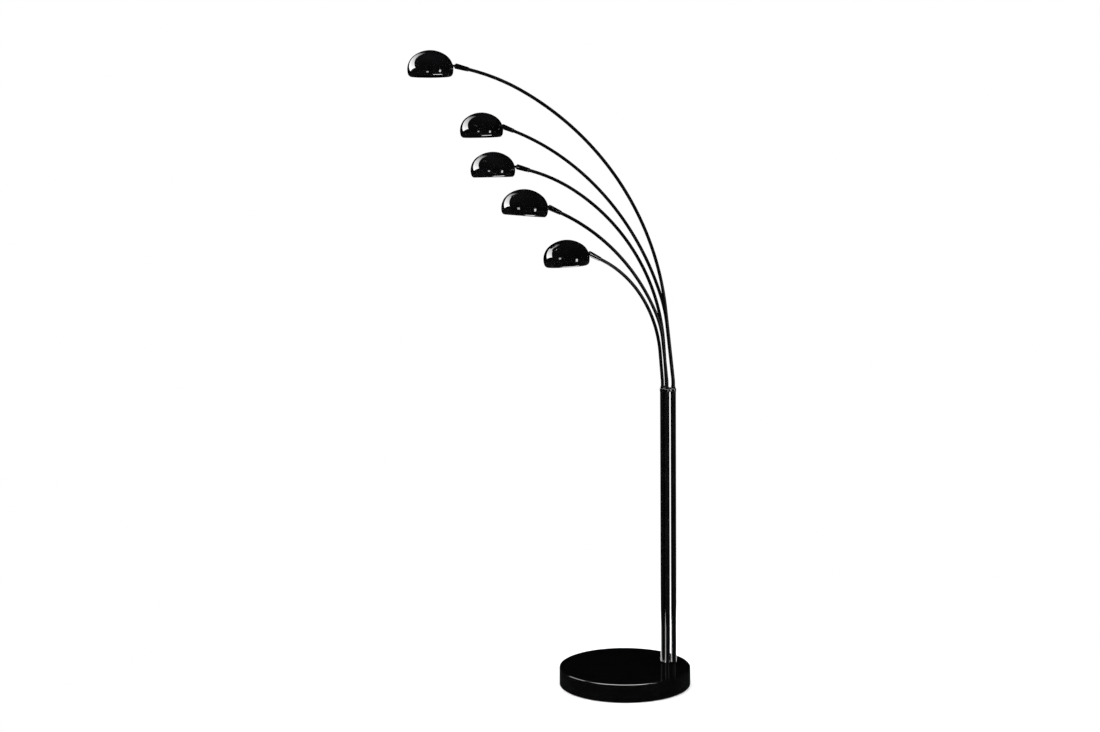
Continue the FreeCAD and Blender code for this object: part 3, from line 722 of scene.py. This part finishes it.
def sleeve_matrix(arm):
    _, angle = centre_line(arm, ARM["tail"], 0.0)
    return ball_matrix(arm, math.degrees(angle) - 90.0)


def stud_matrix(arm):
    return ball_matrix(arm, arm["tilt"] - SHADE["stud_rise"])


def shade_matrix(arm):
    """The shade's own frame: its axis upright, its equator at height 0."""
    offset = SHADE["radius"] - SHADE["side"]
    reach = offset + math.sqrt(SHADE["side"] ** 2 - SHADE["stud_height"] ** 2)
    rise = math.radians(SHADE["stud_rise"])
    x = -reach - math.cos(rise) * SHADE["ball_to_wall"]
    z = SHADE["stud_height"] - math.sin(rise) * SHADE["ball_to_wall"]
    return ball_matrix(arm, arm["tilt"]) @ Matrix.Translation((-x * MM, 0.0, -z * MM))


# %% Five arm tubes
END_BACK = math.sqrt(BALL["radius"] ** 2 - (ARM["radius"] - ARM["wall"]) ** 2) + BALL["tube_gap"]
for k, arm in ARMS.items():
    points, _ = centre_line(arm, ARM["tail"], END_BACK)
    mesh = bpy.data.meshes.new("line")
    places = [(p.x * MM, 0.0, p.y * MM) for p in points]
    mesh.from_pydata(places, [(i, i + 1) for i in range(len(points) - 1)], [])
    source = bpy.data.objects.new("line", mesh)
    bpy.context.scene.collection.objects.link(source)
    modifier = source.modifiers.new("bent tube", "NODES")
    modifier.node_group = bent_tube
    sockets = {item.name: item.identifier for item in bent_tube.interface.items_tree if item.in_out == "INPUT"}
    modifier[sockets["Radius"]] = ARM["radius"] * MM
    modifier[sockets["Sides"]] = 48
    modifier[sockets["Finish"]] = stem_lacquer
    tube = plain_mesh(source, arm_matrix(arm), f"bent_arm_{k}")
    wall = tube.modifiers.new("wall", "SOLIDIFY")
    wall.thickness = ARM["wall"] * MM
    wall.offset = -1.0
    graph = bpy.context.evaluated_depsgraph_get()
    tube.data = bpy.data.meshes.new_from_object(tube.evaluated_get(graph))
    tube.modifiers.clear()
    put(tube, f"arm_{k}", "black_gloss", f"arm_{k}_tube")
    collars = dressed(f"arm_{k}_collars", f"stop_rings_{k}", lacquer)
    put(collars, f"arm_{k}", "black_gloss", f"arm_{k}_collars")
    lead = dressed(f"arm_{k}_lead", f"lamp_lead_{k}", sheath)
    put(lead, f"arm_{k}", "sheath", f"arm_{k}_lead")
    print("arm", k, "points", len(points), "faces", len(tube.data.polygons))

# %% [markdown]
# ## The ball joint
# A sleeve is pressed on each arm's end and its lip closes over a ball, whose hollow neck runs
# into the shade. Both are turned. A shallow groove and a rounded lip give the sleeve the edges
# that catch light.

# %% Sleeves and balls
SLEEVE_BORE, SLEEVE_BACK = 5.05, -38.8
SLEEVE = [                            # radius, place from the ball's centre, rounding
    (SLEEVE_BORE, SLEEVE_BACK), (6.5, SLEEVE_BACK, 0.5), (6.62, -36.2, 0.3), (6.35, -35.6, 0.25),
    (6.35, -34.6, 0.25), (6.75, -34.0, 0.3), (8.0, -6.6, 3.0), (8.0, 3.2, 1.8), (5.83, 3.2),
]
SLEEVE_INSIDE = [Vector((SLEEVE_BORE, -5.0)), Vector((SLEEVE_BORE, SLEEVE_BACK))]
SOCKET = arc_points((0.0, 0.0), BALL["socket"], 28.8, -40.0, 18)
STUD_END = HOLDER["low"] + 10.0
for k, arm in ARMS.items():
    along = sleeve_matrix(arm) @ Z_TO_X
    outline = rounded_outline(SLEEVE, 6)[:-1] + SOCKET + SLEEVE_INSIDE
    sleeve = turned(f"joint_sleeve_{k}", outline, lacquer, along, 96)
    put(sleeve, f"arm_{k}", "black_gloss", f"arm_{k}_joint_sleeve")
    neck_angle = math.degrees(math.asin(BALL["neck"] / BALL["radius"]))
    ball = arc_points((0.0, 0.0), BALL["radius"], -72.0, 90.0 - neck_angle, 40)
    outline = [Vector((BALL["bore"], STUD_END)), Vector((BALL["bore"], -6.0))] + ball
    outline += [Vector((BALL["neck"], 6.4)), Vector((BALL["neck"], STUD_END)), Vector((BALL["bore"], STUD_END))]
    stud = turned(f"ball_and_neck_{k}", outline, dark_chrome, stud_matrix(arm) @ Z_TO_X, 64)
    put(stud, f"ball_{k}", "black_chrome", f"arm_{k}_ball_stud")
print("sleeve faces", len(sleeve.data.polygons), "ball faces", len(stud.data.polygons))

# %% [markdown]
# ## The shades
# A spun steel dome: a flat crown, a round shoulder, a nearly upright side and a tight curl that
# tucks the rim in. Three arcs that run into each other without a corner describe it. The shell
# has its real wall, black outside, and white enamel inside to throw the light down.


# %% Dome shades
def dome_points(inset, steps):
    """Arcs of the dome from crown to rim, moved in by the inset."""
    offset = SHADE["radius"] - SHADE["side"]
    crown = (offset ** 2 + SHADE["rise"] ** 2 - SHADE["side"] ** 2) / (SHADE["rise"] - SHADE["side"]) / 2.0
    crown_height = SHADE["rise"] - crown
    shoulder = math.degrees(math.atan2(-crown_height, offset))
    side_end = math.radians(-SHADE["side_deg"])
    reach = SHADE["side"] - SHADE["curl"]
    curl_centre = (offset + reach * math.cos(side_end), reach * math.sin(side_end))
    points = arc_points((0.0, crown_height), crown - inset, 90.0, shoulder, steps)
    points += arc_points((offset, 0.0), SHADE["side"] - inset, shoulder, -SHADE["side_deg"], steps)[1:]
    curl = SHADE["curl"] - inset
    points += arc_points(curl_centre, curl, -SHADE["side_deg"], -SHADE["rim_deg"], steps // 2)[1:]
    points[0].x = 0.0
    return points


DOME_STEPS = 28
OUTSIDE = dome_points(0.0, DOME_STEPS)[::-1]
INSIDE = dome_points(SHADE["wall"], DOME_STEPS)
HOLE = [(0.0, 4.0), (SHADE["hole"], 4.0), (SHADE["hole"], 14.6), (0.0, 14.6)]
for k, arm in ARMS.items():
    shell = turned(f"dome_shade_{k}", INSIDE + OUTSIDE, lacquer, segments=192)
    shell.data.materials.append(white_enamel)
    for face in shell.data.polygons:
        if face.normal.xy.dot(face.center.xy) < 0.0 or (face.normal.z < -0.2 and face.center.z > 0.0):
            face.material_index = 1
    hole = turned("hole", HOLE, white_enamel, shade_matrix(arm).inverted() @ stud_matrix(arm) @ Z_TO_X, 48)
    shell = cut(shell, hole)
    shell.data.transform(shade_matrix(arm))
    put(shell, f"head_{k}", "black_gloss", f"arm_{k}_shade")
    bush = dressed(f"arm_{k}_shade_bush", f"nylon_bush_{k}", black_plastic)
    put(bush, f"head_{k}", "black_plastic", f"arm_{k}_shade_bush")
print("shade faces", len(shell.data.polygons))

# %% [markdown]
# ## Holder and bulb
# The holder is a moulded cup with ribs for the fingers. The bulb is opal glass with a threaded
# nickel cap; it is turned in two pieces, because glass and metal need two finishes.

# %% Holders and bulbs
BULB_CENTRE = HOLDER["top"] + BULB["above_holder"] + math.sqrt(BULB["radius"] ** 2 - BULB["shoulder"] ** 2)
GLASS_NECK = ((7.0, 0.35), (7.1, 1.2), (8.0, 3.4), (10.2, 7.5), (12.2, 10.9))   # radius, place over the holder


def holder_outline():
    """A stepped cup with six ribs, and the bore that takes the cap."""
    low, top, wide, groove = HOLDER["low"], HOLDER["top"], HOLDER["radius"], HOLDER["groove"]
    corners = [(HOLDER["neck"], low), (HOLDER["foot"], low, 0.6), (HOLDER["foot"], 19.9, 0.4),
               (wide, 23.9, 0.8)]
    for rib in range(6):
        start = 27.0 + rib * 3.0
        corners += [(wide, start, 0.2), (groove, start + 0.5, 0.2),
                    (groove, start + 1.1, 0.2), (wide, start + 1.6, 0.2)]
    corners += [(wide, top, 0.8), (HOLDER["bore"], top, 0.6), (HOLDER["bore"], HOLDER["floor"]),
                (HOLDER["neck"], HOLDER["floor"]), (HOLDER["neck"], low)]
    return rounded_outline(corners, 3)


def cap_outline():
    """The bulb's cap: a flat contact, five turns of thread and a plain collar."""
    low, top = HOLDER["top"] - BULB["cap"], HOLDER["top"]
    points = [Vector((0.0, low)), Vector((4.0, low)), Vector((6.0, low + 1.5))]
    for turn in range(5):
        z = low + 3.0 + turn * 2.8
        points += [Vector((6.4, z)), Vector((6.9, z + 0.9)), Vector((6.4, z + 1.8))]
    return points + [Vector((7.0, top - 1.0)), Vector((7.0, top + 0.3)), Vector((0.0, top + 0.3))]


def glass_outline():
    """The glass: a short neck that flares into the round bulb."""
    shoulder = HOLDER["top"] + BULB["above_holder"]
    flare = math.degrees(math.asin((BULB_CENTRE - shoulder) / BULB["radius"]))
    points = [Vector((0.0, HOLDER["top"] + GLASS_NECK[0][1]))]
    points += [Vector((radius, HOLDER["top"] + rise)) for radius, rise in GLASS_NECK]
    points += arc_points((0.0, BULB_CENTRE), BULB["radius"], -flare + 3.0, 90.0, 30)
    points[-1].x = 0.0
    return points


for k, arm in ARMS.items():
    along = stud_matrix(arm) @ Z_TO_X
    holder = turned(f"bulb_holder_{k}", holder_outline(), black_plastic, along, 72)
    put(holder, f"ball_{k}", "black_plastic", f"arm_{k}_lamp_holder")
    metal = turned("cap", cap_outline(), nickel, along, 64)
    glass = turned("glass", glass_outline(), opal, along, 96)
    lamp = join([metal, glass], f"opal_bulb_{k}")
    put(lamp, f"ball_{k}", "opal_glass", f"arm_{k}_bulb")
print("bulb faces", len(lamp.data.polygons))

# %% [markdown]
# ## Floor, flags and lights
# Black gloss shows what stands round it more than it shows itself. The floor and the background
# are white, as in the photograph; dark flags out of sight keep the lacquer deep, and bright
# cards, seen only in reflections, draw the highlights. Soft lamps light everything else.


# %% Floor and world
def stage_mesh(name, corners, faces, material):
    mesh = bpy.data.meshes.new(name)
    mesh.from_pydata(corners, [], faces)
    mesh.materials.append(material)
    item = bpy.data.objects.new(name, mesh)
    bpy.context.scene.collection.objects.link(item)
    return item


def floor_finish():
    """Pale floor: lit near the lamp, so that it keeps the shadow, and plain white far off."""
    material = bpy.data.materials.new("pale floor")
    material.use_nodes = True
    tree = material.node_tree
    tree.nodes.clear()
    output = tree.nodes.new("ShaderNodeOutputMaterial")
    path = tree.nodes.new("ShaderNodeLightPath")
    place = tree.nodes.new("ShaderNodeTexCoord")
    length = tree.nodes.new("ShaderNodeVectorMath")
    length.operation = "LENGTH"
    paper = tree.nodes.new("ShaderNodeBsdfDiffuse")
    paper.inputs["Color"].default_value = (0.86, 0.86, 0.86, 1.0)
    glow = tree.nodes.new("ShaderNodeEmission")
    glow.inputs["Strength"].default_value = 0.30
    lit = tree.nodes.new("ShaderNodeAddShader")
    white = tree.nodes.new("ShaderNodeEmission")
    fade = tree.nodes.new("ShaderNodeMixShader")
    choose = tree.nodes.new("ShaderNodeMixShader")
    tree.links.new(place.outputs["Object"], length.inputs[0])
    tree.links.new(ranged(tree, length.outputs["Value"], 0.0, 1.0, 0.55, 1.6), fade.inputs["Fac"])
    tree.links.new(paper.outputs["BSDF"], lit.inputs[0])
    tree.links.new(glow.outputs["Emission"], lit.inputs[1])
    tree.links.new(lit.outputs["Shader"], fade.inputs[1])
    tree.links.new(white.outputs["Emission"], fade.inputs[2])
    seen = add_math(tree, "MAXIMUM", path.outputs["Is Camera Ray"], path.outputs["Is Transmission Ray"])
    tree.links.new(seen, choose.inputs["Fac"])
    tree.links.new(paper.outputs["BSDF"], choose.inputs[1])
    tree.links.new(fade.outputs["Shader"], choose.inputs[2])
    tree.links.new(choose.outputs["Shader"], output.inputs["Surface"])
    return material


def flat_square(name, half, height, material):
    """A level square round the middle of the set."""
    corners = [(-half, -half, height), (half, -half, height), (half, half, height), (-half, half, height)]
    return stage_mesh(name, corners, [(0, 1, 2, 3)], material)


flat_square("floor", 12.0, 0.0, floor_finish())

world = bpy.data.worlds.new("studio")
bpy.context.scene.world = world
world.use_nodes = True
tree = world.node_tree
background = tree.nodes["Background"]
background.inputs["Color"].default_value = (1.0, 1.0, 1.0, 1.0)
path = tree.nodes.new("ShaderNodeLightPath")
seen = add_math(tree, "MAXIMUM", path.outputs["Is Camera Ray"], path.outputs["Is Glossy Ray"])
seen = add_math(tree, "MAXIMUM", seen, path.outputs["Is Transmission Ray"])
tree.links.new(ranged(tree, seen, 0.45, 1.0, 0.0, 1.0), background.inputs["Strength"])
print("floor and world ready")


# %% [markdown]
# A dome mirrors what stands to its side and behind it. The bright crescent on each shade comes
# from one large card, whose corners were found by following rays from the camera off the dome,
# so that the image keeps clear of the outline and fades towards the crown. A low card behind the
# stems gives the white streaks at their feet, and one over the base lights its rounded edge.


# %% Flags and cards
def plain_emission(name, low, high=None):
    """An emitter: one value shines from the front alone, two run from one edge to the other."""
    material = bpy.data.materials.new(name)
    material.use_nodes = True
    tree = material.node_tree
    tree.nodes.clear()
    output = tree.nodes.new("ShaderNodeOutputMaterial")
    glow = tree.nodes.new("ShaderNodeEmission")
    tree.links.new(glow.outputs["Emission"], output.inputs["Surface"])
    if high is None:
        facing = tree.nodes.new("ShaderNodeNewGeometry")
        tree.links.new(ranged(tree, facing.outputs["Backfacing"], low, 0.0, 0.0, 1.0), glow.inputs["Strength"])
    else:
        place = tree.nodes.new("ShaderNodeTexCoord")
        split = tree.nodes.new("ShaderNodeSeparateXYZ")
        tree.links.new(place.outputs["Object"], split.inputs["Vector"])
        tree.links.new(ranged(tree, split.outputs["Y"], low, high, -0.5, 0.5), glow.inputs["Strength"])
    return material


def only_reflected(item):
    item.visible_camera = False
    item.visible_diffuse = False
    item.visible_transmission = False
    item.visible_volume_scatter = False
    item.visible_shadow = False


def card(name, place, width, height, strength, target=(-0.05, 0.0, 1.2)):
    """A flat card that faces a target; places are right, away and up in the photograph."""
    centre = in_studio(*place)
    aim = in_studio(*target) - centre
    item = stage_mesh(name, [(-0.5, -0.5, 0), (0.5, -0.5, 0), (0.5, 0.5, 0), (-0.5, 0.5, 0)], [(0, 1, 2, 3)],
                      plain_emission(name, strength))
    turn = aim.to_track_quat("Z", "Y").to_matrix().to_4x4()
    item.matrix_world = Matrix.Translation(centre) @ turn @ Matrix.Diagonal((width, height, 1.0, 1.0))
    only_reflected(item)
    return item


def four_cornered_card(name, corners, low, high):
    """A card with its own corners, whose light changes from its first edge to the far one."""
    a, b, c, d = [in_studio(*corner) for corner in corners]
    centre = (a + b + c + d) / 4.0
    across = (b + c - a - d) / 2.0
    along = (c + d - a - b) / 2.0
    axes = Matrix((across, along, across.cross(along).normalized())).transposed().to_4x4()
    frame_of_card = Matrix.Translation(centre) @ axes
    inside = frame_of_card.inverted()
    item = stage_mesh(name, [tuple(inside @ corner) for corner in (a, b, c, d)], [(0, 1, 2, 3)],
                      plain_emission(name, low, high))
    item.matrix_world = frame_of_card
    only_reflected(item)
    return item


def flag_ring(radius, low, high, sides=48):
    """Dark wall round the set, seen only in reflections."""
    corners = []
    faces = []
    for side in range(sides):
        angle = 2.0 * math.pi * side / sides
        x, y = radius * math.cos(angle), radius * math.sin(angle)
        corners += [(x, y, low), (x, y, high)]
        a, b = 2 * side, 2 * ((side + 1) % sides)
        faces.append((a, b, b + 1, a + 1))
    item = stage_mesh("dark_flags", corners, faces, plain_emission("dark flag", 0.012))
    only_reflected(item)
    return item


SET_RADIUS, SET_HEIGHT = 7.0, 6.0
LEFT_CORNERS = [(-4.60, -1.70, 2.20), (-4.60, 1.94, 1.76), (-1.90, 3.60, 3.87), (-1.86, 2.73, 4.95)]
flag_ring(SET_RADIUS, 0.0, SET_HEIGHT)
dark_floor = flat_square("dark_floor", SET_RADIUS, 0.0008, plain_emission("dark floor flag", 0.012))
dark_ceiling = flat_square("dark_ceiling", SET_RADIUS, SET_HEIGHT, plain_emission("dark ceiling flag", 0.03))
only_reflected(dark_floor)
only_reflected(dark_ceiling)
four_cornered_card("left_card", LEFT_CORNERS, 6.5, 0.3)
card("foot_card", (0.12, 0.28, 0.0585), 1.0, 0.5, 6.0, target=(0.12, 0.28, 2.0))
card("edge_card", (-0.25, -0.75, 0.95), 1.8, 0.8, 14.0, target=(-0.25, -0.7, 0.0))
card("right_window", (2.2, -2.0, 1.0), 0.55, 0.85, 4.5)
card("front_window", (-0.75, -1.0, 1.45), 0.2, 0.2, 3.0, target=(-0.19, 0.0, 1.3))
print("cards ready")


# %% Lamps
def soft_light(name, place, size, power, target=(0.0, 0.0, 0.9)):
    data = bpy.data.lights.new(name, "AREA")
    data.shape = "SQUARE"
    data.size = size
    data.energy = power
    item = bpy.data.objects.new(name, data)
    bpy.context.scene.collection.objects.link(item)
    centre = in_studio(*place)
    aim = in_studio(*target) - centre
    item.matrix_world = Matrix.Translation(centre) @ aim.to_track_quat("-Z", "Y").to_matrix().to_4x4()
    item.visible_camera = False
    item.visible_glossy = False
    return item


soft_light("left_soft", (-3.0, -1.5, 3.2), 2.2, 110.0)
soft_light("right_soft", (3.0, -2.0, 2.8), 2.2, 60.0)
soft_light("top_soft", (0.0, 0.5, 4.2), 2.6, 90.0)
print("lamps ready")
